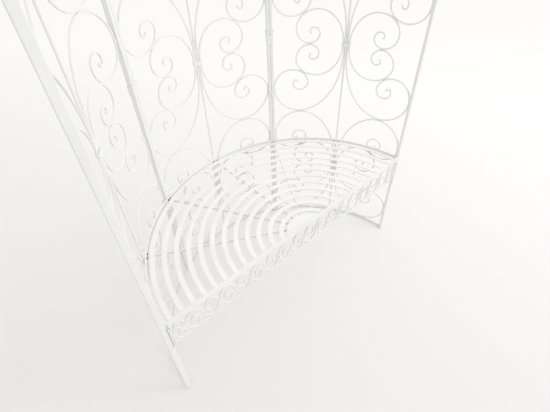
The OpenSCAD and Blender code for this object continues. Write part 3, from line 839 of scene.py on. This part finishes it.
def support_run(az):
    """Heading and length of the support that meets the rim at az; its corners stay just clear."""
    hair = 0.00001
    run = polar(az, RIM_IN - WELD) - SUPPORT_FOOT
    along = run.normalized()
    lean = math.acos(min(1.0, along.dot(outward(az))))
    return along, run.length - SUPPORT_W / 2 * math.tan(lean) - hair


def make_seat():
    rim = arc_bar(
        RIM_R, RIM_MID, RIM_T, RIM_H,
        lambda r: FIRST_JOINT, lambda r: math.pi - FIRST_JOINT, RIM_STEPS,
    )
    piece("seat_rim_band", [rim], PAINT, ["seat_rim"])
    half = math.sqrt((RIM_IN - WELD) ** 2 - (FRONT_Y + RIM_T) ** 2)
    left, right = [Vector((x, FRONT_MID, RIM_MID)) for x in (-half, half)]
    rail = straight(left, right, UP, RIM_H, RIM_T, FLAT_EDGE)
    piece("seat_front_rail_bar", [rail], PAINT, ["seat_front_rail"])
    slats = []
    for r in SLAT_R:
        slats.append(arc_bar(
            r, SEAT_H - SLAT_T / 2, SLAT_W, SLAT_T,
            seat_end, lambda q: math.pi - seat_end(q), SLAT_STEPS, SLAT_EDGE,
        ))
    piece("seat_slat_strips", slats, PAINT, ["seat_slats"])
    hub = half_disc(HUB_R, SEAT_EDGE, SEAT_H - SLAT_T, SEAT_H, HUB_EDGE)
    piece("seat_hub_plate", [hub], PAINT, ["seat_hub"])
    supports = []
    level = UP * (SUPPORT_TOP - SUPPORT_H / 2)
    outer, _ = support_run(PANEL_AZ[0])
    root = (SUPPORT_GAP + SUPPORT_W / 2 * outer.x) / outer.y
    for az in SUPPORT_AZ:
        along, reach = support_run(az)
        start, end = [SUPPORT_FOOT + along * distance + level for distance in (root, reach)]
        supports.append(straight(start, end, UP, SUPPORT_H, SUPPORT_W, FLAT_EDGE))
    piece("seat_support_bars", supports, PAINT, ["seat_supports"])


# Apron
def make_apron():
    left, right = [Vector((x, FRONT_MID, APRON_LOW - WELD - BAR / 2)) for x in (-APRON_HALF, APRON_HALF)]
    bars = [straight(left, right, UP, BAR, BAR, BAR_EDGE)]
    for side in (-1, 1):
        low = Vector((side * (APRON_FIELD + BAR / 2), FRONT_MID, APRON_LOW))
        bars.append(straight(low, low + UP * APRON_H, outward(0.0), BAR, BAR, BAR_EDGE))
    piece("apron_rail_bar", bars, PAINT, ["apron_rail"])
    bar_from = min(WELD / 2, APRON_ALONG - BAR / 2 - END_BAR_SPACE)
    bar_to = max(TUBE_FACE, APRON_ALONG + BAR / 2 + END_BAR_SPACE)
    ends = []
    for az, side in ((JOINT_AZ[0], 1), (JOINT_AZ[3], -1)):
        across = side * (bar_from + bar_to) / 2
        low = polar(az, RIM_R, APRON_LOW - WELD - BAR - END_BAR_TAB, across)
        high = polar(az, RIM_R, APRON_TOP, across)
        ends.append(straight(low, high, outward(az), RIM_T, bar_to - bar_from, FLAT_EDGE))
    piece("apron_end_flats", ends, PAINT, ["apron_end_bars"])
    scrolls = []
    for x in APRON_X:
        scrolls.append(bar_along(on_apron(flipped(s_path(), -1 if x > 0 else 1, 1), x)))
    piece("apron_s_scrolls_bent", scrolls, PAINT, ["apron_s_scrolls"])
    curls = []
    for side in (-1, 1):
        x = side * (APRON_FIELD - WELD - BAR / 2)
        curls.append(bar_along(on_apron(flipped(end_curl_path(), -side, 1), x)))
    piece("apron_end_curls_bent", curls, PAINT, ["apron_end_curls"])


# Hood
def dome_stations(az, foot, end_slope, across):
    """Stations in the plane of az from the foot up to the slope where the bar ends."""
    end_s = DOME_LEN1 + (end_slope - SHOULDER) * DOME_R2
    distances = [foot - DOME_Z] + [end_s * k / DOME_STEPS for k in range(DOME_STEPS + 1)]
    out = []
    for s in distances:
        r, z, slope = dome_at(s)
        heading = UP * math.cos(slope) - outward(az) * math.sin(slope)
        normal = outward(az) * math.cos(slope) + UP * math.sin(slope)
        out.append((polar(az, r, z, across), heading, normal))
    return out


def make_hood():
    for name, joint, side in POSTS:
        stations = dome_stations(JOINT_AZ[joint], RIB_FOOT_Z, math.pi / 2, side * TUBE_OFF)
        solid = swept_tube(stations, TUBE_D, TUBE_W, TUBE_EDGE, TUBE_WALL)
        piece(name + "_rib_tube", [solid], PAINT, [name + "_rib"])
    end_r = (TUBE_FACE + ROD_D / 2 + WELD) / math.sin(HALF_ANGLE)
    end_slope = math.acos((end_r - DOME_C2[0]) / DOME_R2)
    for name, az in zip(PANELS, PANEL_AZ):
        stations = dome_stations(az, HOOD_RAIL_TOP + WELD, end_slope, 0.0)
        rod = swept(stations, ROD_D, ROD_D, BAR_EDGE)
        piece(name + "_hood_rod_bar", [rod], PAINT, [name + "_hood_rod"])
        solids = [bar_along(on_dome(flipped(gore_path(), side, 1), az)) for side in (-1, 1)]
        piece(name + "_hood_scrolls_bent", solids, PAINT, [name + "_hood_scrolls"])


LOW_PLATE_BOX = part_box("crown_lower_plate")
HIGH_PLATE_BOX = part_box("crown_upper_plate")


def make_crown():
    for name, (low, high) in (("crown_lower_plate", LOW_PLATE_BOX), ("crown_upper_plate", HIGH_PLATE_BOX)):
        disc = half_disc(CROWN_R, -CROWN_FRONT, low.z, high.z, PLATE_EDGE)
        piece(name + "_disc", [disc], PAINT, [name])
    base = finial_low.z
    foot = base + FINIAL_FOOT_H
    bevel_r, bevel_h = FINIAL_FOOT_BEVEL
    profile = [
        (FINIAL_FOOT_R - bevel_r, base), (FINIAL_FOOT_R, base + bevel_h),
        (FINIAL_FOOT_R, foot - bevel_h), (FINIAL_FOOT_R - bevel_r, foot),
    ]
    for k in range(1, FLARE_STEPS + 1):
        t = math.pi / 2 * k / FLARE_STEPS
        profile.append((STEM_R + STEM_FLARE * (1 - math.sin(t)), foot + STEM_FLARE * (1 - math.cos(t))))
    ball_r = BALL_D / 2
    ball_z = base + STEM_H + ball_r - BALL_SINK
    first = math.asin(STEM_R / ball_r)
    last = math.pi - BALL_END
    for k in range(BALL_STEPS + 1):
        a = first + (last - first) * k / BALL_STEPS
        profile.append((ball_r * math.sin(a), ball_z - ball_r * math.cos(a)))
    piece("finial_ball", [lathe(profile, TURN_STEPS)], PAINT, ["finial"])


# Fasteners
HEX_END = 0.94
HEX_CORNER = 1.06
BUTTON = [(0.97, 0.0), (1.0, 0.12), (0.97, 0.3), (0.86, 0.62), (0.70, 0.86), (0.60, 0.97)]
SOCKET = [(0.486, 1.0), (0.45, 0.96), (0.45, 0.45)]


def hex_prism(flats, height):
    """Hexagonal prism with its corners chamfered round at both ends."""
    full = flats / 2
    end = HEX_END * full
    profile = [(end, 0.0), (full, FASTENER_EDGE), (full, height - FASTENER_EDGE), (end, height)]

    def shape(i, a):
        return min(hexagon(a), HEX_CORNER) if i in (0, 3) else hexagon(a)

    return lathe(profile, TURN_STEPS, shape)


def lifted(solid, z):
    vertices, faces = solid
    return [v + UP * z for v in vertices], faces


def socket_head(d, height):
    """Button head with a hexagonal socket; its flat is at z = 0 and it rises to height."""
    profile = [(share * d / 2, up * height) for share, up in BUTTON + SOCKET]

    def shape(i, a):
        return hexagon(a) if i >= len(BUTTON) else 1.0

    return lathe(profile, TURN_STEPS, shape)


def shank(d, length):
    """Shank of a bolt or a screw, without its thread."""
    return round_bar(d, length, FASTENER_EDGE, SHANK_STEPS)


def make_post_bolts():
    bolts = []
    nuts = []
    reach = TUBE_FACE + WELD
    for joint in (1, 2):
        az = JOINT_AZ[joint]
        for z in COLLAR_Z:
            origin = polar(az, ARC_R, z + BOLT_UP)
            axis = -sideways(az)
            start = origin - axis * reach
            bolts.append(placed(shank(BOLT_D, 2 * reach + BOLT_D + BOLT_TAIL), start, axis, UP))
            head = start - axis * BOLT_HEAD_H
            bolts.append(placed(hex_prism(BOLT_HEAD, BOLT_HEAD_H), head, axis, UP))
            nuts.append(placed(hex_prism(BOLT_HEAD, BOLT_D), origin + axis * reach, axis, UP))
    piece("post_bolt_set", bolts, PAINT, ["post_bolts"])
    piece("post_nut_set", nuts, PAINT, ["post_nuts"])


def make_seat_screws():
    screws = []
    rim_places = [(JOINT_AZ[j], side * TUBE_OFF) for j in (1, 2) for side in (-1, 1)]
    rim_places += [(az, side * ROD_SCREW_OFF) for az in PANEL_AZ for side in (-1, 1)]
    places = []
    for az, across in rim_places:
        x = math.sqrt(RIM_IN ** 2 - (abs(across) + SCREW_HEAD / 2) ** 2) - WELD / 2
        places.append((az, across, x, RIM_MID))
    for az, across in ((JOINT_AZ[0], TUBE_OFF), (JOINT_AZ[3], -TUBE_OFF)):
        places += [(az, across, RIM_IN - WELD / 2, z) for z in APRON_SCREW_Z]
    for az, across, x, z in places:
        origin = polar(az, x, z, across)
        screws.append(placed(socket_head(SCREW_HEAD, SCREW_HEAD_H), origin, -outward(az), UP))
        screws.append(placed(shank(SCREW_D, SCREW_LEN), origin, outward(az), UP))
    piece("seat_screw_set", screws, SCREW_DARK_STEEL, ["seat_screws"])


def make_crown_bolts():
    top = HIGH_PLATE_BOX[1].z + WELD
    low = LOW_PLATE_BOX[0].z - WELD
    bolts = []
    nuts = []
    for _, joint, side in POSTS:
        az = JOINT_AZ[joint]
        above = polar(az, CROWN_BOLT_R, top, side * TUBE_OFF)
        below = polar(az, CROWN_BOLT_R, low, side * TUBE_OFF)
        bolts.append(placed(shank(BOLT_D, top - low + BOLT_D + BOLT_TAIL), above, -UP, outward(az)))
        bolts.append(placed(hex_prism(BOLT_HEAD, BOLT_HEAD_H), above, UP, outward(az)))
        nuts.append(placed(hex_prism(BOLT_HEAD, BOLT_D), below, -UP, outward(az)))
    piece("crown_bolt_set", bolts, STEEL, ["crown_bolts"])
    piece("crown_nut_set", nuts, STEEL, ["crown_nuts"])
    stud = [
        lifted(hex_prism(STUD_HEAD, BOLT_HEAD_H), low - BOLT_HEAD_H),
        lifted(shank(STUD_D, finial_low.z + STUD_IN_FINIAL - low), low),
    ]
    piece("finial_stud_bolt", stud, STEEL, ["finial_stud"])


# Weld beads: their half sizes along the seam, across it and along the face normal
SCROLL_BEAD = (0.0042, 0.0017, 0.0033)
GORE_FOOT_BEAD = (0.0042, 0.0014, 0.0033)
ROD_END_BEAD = (0.0048, 0.0014, 0.0044)
RAIL_BEAD_R = 0.0014
RAIL_BEAD_OVER = 0.0006
RAIL_BEAD_OUT = 0.0008
SUPPORT_BEAD_R = 0.0013
SLAT_BEAD = (0.0055, SUPPORT_BEAD_R, SUPPORT_BEAD_R)
SUPPORT_END_BEAD = (SUPPORT_H / 2, SUPPORT_BEAD_R, SUPPORT_BEAD_R)
SLAT_END_BEAD = (0.45 * SLAT_W, 0.0012, 0.0022)
APRON_BEAD = (0.004, 0.0014, 0.0031)
S_BEAD = (0.0045, 0.0016, 0.0032)
END_CURL_BEAD = (0.0045, 0.0014, 0.0032)
UPRIGHT_BEAD = (0.0034, 0.0014, 0.0032)
BEAD_ROWS = 6
BEAD_ROUND = 10
BEAD_CUT = 0.06
BEAD_UNEVEN = 0.12

dice = random.Random(11)


def bead(point, long_axis, normal, sizes):
    """Small uneven lump of weld, longer along one axis."""
    long_r, across_r, normal_r = sizes
    rings = []
    t = long_axis.normalized()
    n = (normal - t * t.dot(normal)).normalized()
    side = t.cross(n)
    for i in range(BEAD_ROWS + 1):
        a = math.pi * (BEAD_CUT + (1 - 2 * BEAD_CUT) * i / BEAD_ROWS)
        swell = 1 + dice.uniform(-BEAD_UNEVEN, BEAD_UNEVEN)
        ring = []
        for k in range(BEAD_ROUND):
            b = 2 * math.pi * k / BEAD_ROUND
            ring.append(
                point - t * (long_r * math.cos(a))
                + side * (across_r * swell * math.sin(a) * math.cos(b))
                + n * (normal_r * swell * math.sin(a) * math.sin(b))
            )
        rings.append(ring)
    return closed(rings)


def wall_weld(az, x, y, z, heading):
    a = az - x / ARC_R
    along = -sideways(a) * heading[0] + UP * heading[1]
    return bead(polar(a, ARC_R, z + y), along, outward(a), SCROLL_BEAD)


def row_welds(az, z):
    """Beads of one row of a panel: at the eyes of the Cs, the lyres' extremes and where the two touch."""
    touch = (
        LOBE_TOP[0] + LOBE_SEMI[0] * math.cos(TOUCH_ANGLE) + TOUCH_NORMAL.x * (BAR / 2 + WELD),
        LOBE_SIDE[1] + LOBE_SEMI[1] * math.sin(TOUCH_ANGLE) + TOUCH_NORMAL.y * (BAR / 2 + WELD),
    )
    beads = []
    for side in (-1, 1):
        beads.append(wall_weld(az, side * C_EYE[0], 0.0, z, (1.0, 0.0)))
        for end in (-1, 1):
            beads.append(wall_weld(az, side * LYRE_TOP[0], end * HALF_ROW, z, (1.0, 0.0)))
            edge = side * (HALF_RUN + BAR / 2)
            beads.append(wall_weld(az, edge, end * LYRE_SIDE[1], z, (0.0, 1.0)))
            run = (-side * TOUCH_NORMAL.y, end * TOUCH_NORMAL.x)
            beads.append(wall_weld(az, side * touch[0], end * touch[1], z, run))
    return beads


def gore_welds(az):
    """Beads of one gore: against the ribs and the middle bar, and on the hood's rail."""
    beads = []
    for side in (-1, 1):
        for f, s in ((side, GORE_WIDE[0]), (side, GORE_WIDE[1]), (side * GORE_X / 2, GORE_S)):
            point, along, normal = on_dome([((f, s), (0.0, 1.0))], az)[0]
            if f == side:
                point = point - sideways(az) * (side * BAR / 2)
            beads.append(bead(point, along, normal, SCROLL_BEAD))
        foot = (side * GORE_TURN, GORE_LOW - BAR / 2)
        point, along, normal = on_dome([(foot, (1.0, 0.0))], az)[0]
        beads.append(bead(point, along, normal, GORE_FOOT_BEAD))
    return beads


def panel_welds(az):
    beads = []
    for z in COLLAR_Z:
        beads += row_welds(az, z)
    for z in (FIELD_Z, EAVES_Z):
        beads.append(bead(polar(az, ARC_R, z), sideways(az), outward(az), ROD_END_BEAD))
    reach = run_angle(ARC_R, 0.0)
    for _, z, height in RAILS:
        sizes = (height / 2 + RAIL_BEAD_OVER, RAIL_BEAD_R, RAIL_D / 2 + RAIL_BEAD_OUT)
        for a in (az - reach, az + reach):
            beads.append(bead(polar(a, ARC_R, z + height / 2), UP, outward(a), sizes))
    return beads + gore_welds(az)


def seat_welds():
    beads = []
    for az in SUPPORT_AZ:
        along, reach = support_run(az)
        lean = SUPPORT_FOOT.dot(along)
        for side in (-1, 1):
            face = SUPPORT_FOOT + UP.cross(along) * (side * SUPPORT_W / 2) + UP * SUPPORT_TOP
            for r in SLAT_R:
                run = math.sqrt(r ** 2 - SUPPORT_FOOT.length_squared + lean ** 2) - lean
                beads.append(bead(face + along * run, along, UP, SLAT_BEAD))
            end = face + along * (reach + WELD) - UP * (SUPPORT_H / 2)
            beads.append(bead(end, UP, along, SUPPORT_END_BEAD))
    for r in SLAT_R:
        x = math.sqrt(r ** 2 - SEAT_EDGE ** 2)
        for side in (-1, 1):
            point = Vector((side * x, SEAT_EDGE - WELD / 2, SEAT_H - SLAT_T / 2))
            beads.append(bead(point, outward(0.0), UP, SLAT_END_BEAD))
    return beads


def apron_weld(x, up, axis, sizes):
    """Bead in the plane of the apron, at x along it and up from its middle."""
    return bead(Vector((x, FRONT_MID, APRON_MID + up)), axis, Vector((0, 1, 0)), sizes)


def apron_welds():
    along = Vector((1, 0, 0))
    beads = []
    for x in APRON_X:
        mirror = -1 if x > 0 else 1
        for sign in (-1, 1):
            for end in (-1, 1):
                reach = S_TURN if sign != end else S_HOOK
                beads.append(apron_weld(x + mirror * sign * reach, end * APRON_H / 2, along, APRON_BEAD))
        beads.append(apron_weld(x - APRON_PITCH / 2, 0.0, UP, S_BEAD))
    for side in (-1, 1):
        curl_x = side * (APRON_FIELD - WELD - BAR / 2 - END_TURN)
        upright_x = side * (APRON_FIELD + BAR / 2)
        for end in (-1, 1):
            beads.append(apron_weld(curl_x, end * APRON_H / 2, along, APRON_BEAD))
            beads.append(apron_weld(side * APRON_FIELD, end * END_TOUCH, UP, END_CURL_BEAD))
            beads.append(apron_weld(upright_x, end * APRON_H / 2, along, UPRIGHT_BEAD))
    return beads


def make_welds():
    for name, az in zip(PANELS, PANEL_AZ):
        piece(name + "_panel_welds", panel_welds(az), WELD_PAINT)
    piece("seat_welds", seat_welds(), WELD_PAINT)
    piece("apron_welds", apron_welds(), WELD_PAINT)


make_posts()
make_panels()
make_collars()
make_sleeves()
make_seat()
make_apron()
make_hood()
make_crown()
make_post_bolts()
make_seat_screws()
make_crown_bolts()
make_welds()

for node, material in (("rod_clips", PAINT), ("rib_spigots", STEEL), ("foot_caps", PLASTIC)):
    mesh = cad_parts[node].data
    mesh.materials.clear()
    mesh.materials.append(material)


# Tones of the floor and the backdrop, and the strength of the light
FLOOR_BOUNCE = (0.72, 0.72, 0.72)
FLOOR_SHOWN = (0.52, 0.514, 0.508)
# Painted light on the floor: a glow that grows from GLOW_LOW to GLOW_HIGH along GLOW_WAY and with distance
# out to GLOW_FAR
FLOOR_GLOW = (1.0, 0.977, 0.96)
GLOW_LOW = 0.271
GLOW_HIGH = 0.429
GLOW_WAY = (0.9245, 0.518, 0.0)
GLOW_REACH = (-1.2, 2.0)
GLOW_FAR = (3.5, 9.0)
FLOOR_HALF = 200.0
BACKDROP = (0.963, 0.947, 0.933)
FILL = 1.03
FILL_LEAN = (0.22, -0.05, 0.0)


def math_result(nodes, links, kind, operation, *values):
    """Result of a math node on values that are sockets or plain numbers."""
    node = nodes.new(kind)
    node.operation = operation
    for value, socket in zip(values, node.inputs):
        if isinstance(value, (float, tuple)):
            socket.default_value = value
        else:
            links.new(value, socket)
    return node.outputs["Value"]


def seen_directly(nodes, links):
    """1 on rays from the camera, a gloss or a glass, and 0 on the rays that light the object."""
    path = nodes.new("ShaderNodeLightPath")
    seen = path.outputs["Is Camera Ray"]
    for kind in ("Is Glossy Ray", "Is Transmission Ray"):
        seen = math_result(nodes, links, "ShaderNodeMath", "MAXIMUM", seen, path.outputs[kind])
    return seen


def lit_and_seen(nodes, links, lighting, shown, output):
    """One shader for the rays that light the object, and another that is seen directly."""
    mix = nodes.new("ShaderNodeMixShader")
    links.new(seen_directly(nodes, links), mix.inputs["Fac"])
    links.new(lighting, mix.inputs[1])
    links.new(shown, mix.inputs[2])
    links.new(mix.outputs["Shader"], output.inputs["Surface"])


# Floor: pale, and a little brighter to the camera than the light alone would make it, by a glow of painted
# light that grows towards one side and further off; it keeps the object's shadow
def floor_material():
    material = bpy.data.materials.new("pale_floor")
    nodes, links = emptied(material)
    output = nodes.new("ShaderNodeOutputMaterial")
    bounce = nodes.new("ShaderNodeBsdfDiffuse")
    bounce.inputs["Color"].default_value = (*FLOOR_BOUNCE, 1.0)
    shown = nodes.new("ShaderNodeBsdfDiffuse")
    shown.inputs["Color"].default_value = (*FLOOR_SHOWN, 1.0)
    glow = nodes.new("ShaderNodeEmission")
    glow.inputs["Color"].default_value = (*FLOOR_GLOW, 1.0)
    place = nodes.new("ShaderNodeTexCoord").outputs["Object"]
    # Painted light: the floor's glow grows towards one side and with distance
    along = math_result(nodes, links, "ShaderNodeVectorMath", "DOT_PRODUCT", place, GLOW_WAY)
    away = math_result(nodes, links, "ShaderNodeVectorMath", "LENGTH", place)
    by_side = spread(nodes, links, along, GLOW_LOW, GLOW_HIGH, *GLOW_REACH)
    far_off = spread(nodes, links, away, GLOW_LOW, GLOW_HIGH, *GLOW_FAR)
    strength = math_result(nodes, links, "ShaderNodeMath", "MAXIMUM", by_side, far_off)
    links.new(strength, glow.inputs["Strength"])
    lit = nodes.new("ShaderNodeAddShader")
    links.new(shown.outputs["BSDF"], lit.inputs[0])
    links.new(glow.outputs["Emission"], lit.inputs[1])
    lit_and_seen(nodes, links, bounce.outputs["BSDF"], lit.outputs["Shader"], output)
    return material


def make_floor():
    mesh = bpy.data.meshes.new("studio_floor")
    corners = [(x * FLOOR_HALF, y * FLOOR_HALF, 0) for x, y in ((-1, -1), (1, -1), (1, 1), (-1, 1))]
    mesh.from_pydata(corners, [], [(0, 1, 2, 3)])
    mesh.materials.append(floor_material())
    floor = bpy.data.objects.new("studio_floor", mesh)
    bpy.context.scene.collection.objects.link(floor)


def area_light(name, place, target, size, power, colour):
    light = bpy.data.lights.new(name, "AREA")
    light.shape = "DISK"
    light.size = size
    light.energy = power
    light.color = colour
    obj = bpy.data.objects.new(name, light)
    obj.location = place
    obj.rotation_euler = (Vector(target) - Vector(place)).to_track_quat("-Z", "Y").to_euler()
    bpy.context.scene.collection.objects.link(obj)


def make_light():
    world = bpy.data.worlds.new("studio_world")
    nodes, links = emptied(world)
    output = nodes.new("ShaderNodeOutputWorld")
    fill = nodes.new("ShaderNodeBackground")
    fill.inputs["Color"].default_value = (1.0, 1.0, 1.0, 1.0)
    heading = nodes.new("ShaderNodeTexCoord").outputs["Generated"]
    lean = math_result(nodes, links, "ShaderNodeVectorMath", "DOT_PRODUCT", heading, FILL_LEAN)
    links.new(math_result(nodes, links, "ShaderNodeMath", "ADD", lean, FILL), fill.inputs["Strength"])
    white = nodes.new("ShaderNodeBackground")
    white.inputs["Color"].default_value = (*BACKDROP, 1.0)
    white.inputs["Strength"].default_value = 1.0
    lit_and_seen(nodes, links, fill.outputs["Background"], white.outputs["Background"], output)
    bpy.context.scene.world = world
    area_light(
        "key_from_the_right", place=(2.6, -3.0, 2.9), target=(0.0, 0.0, 0.7),
        size=1.2, power=36.0, colour=(1.0, 0.995, 0.985),
    )


# Camera: where the photo was taken from, worked out from the wall, the seat and the floor rails
CAMERA_PLACE = Vector((-0.7406, -0.6439, 1.5412)) + CENTRE
CAMERA_AZIMUTH = math.radians(48.55)
CAMERA_DOWN = math.radians(44.62)
CAMERA_ROLL = math.radians(1.76)
CAMERA_LENS = 25.04
CAMERA_SENSOR = 36.0
CAMERA_NEAR = 0.05
CAMERA_SHIFT_X = -0.0019
CAMERA_SHIFT_Y = 0.0093


def make_camera():
    camera = bpy.data.cameras.new("photo_camera")
    camera.lens = CAMERA_LENS
    camera.sensor_width = CAMERA_SENSOR
    camera.shift_x = CAMERA_SHIFT_X
    camera.shift_y = CAMERA_SHIFT_Y
    camera.clip_start = CAMERA_NEAR
    obj = bpy.data.objects.new("photo_camera", camera)
    forward = Vector((
        math.cos(CAMERA_AZIMUTH) * math.cos(CAMERA_DOWN),
        math.sin(CAMERA_AZIMUTH) * math.cos(CAMERA_DOWN),
        -math.sin(CAMERA_DOWN),
    ))
    level = forward.cross(UP).normalized()
    top = level.cross(forward)
    right = level * math.cos(CAMERA_ROLL) - top * math.sin(CAMERA_ROLL)
    above = top * math.cos(CAMERA_ROLL) + level * math.sin(CAMERA_ROLL)
    turn = Matrix((right, above, -forward)).transposed()
    obj.matrix_world = Matrix.Translation(CAMERA_PLACE) @ turn.to_4x4()
    bpy.context.scene.collection.objects.link(obj)
    bpy.context.scene.camera = obj


make_floor()
make_light()
make_camera()
bpy.context.scene.view_settings.view_transform = "Standard"
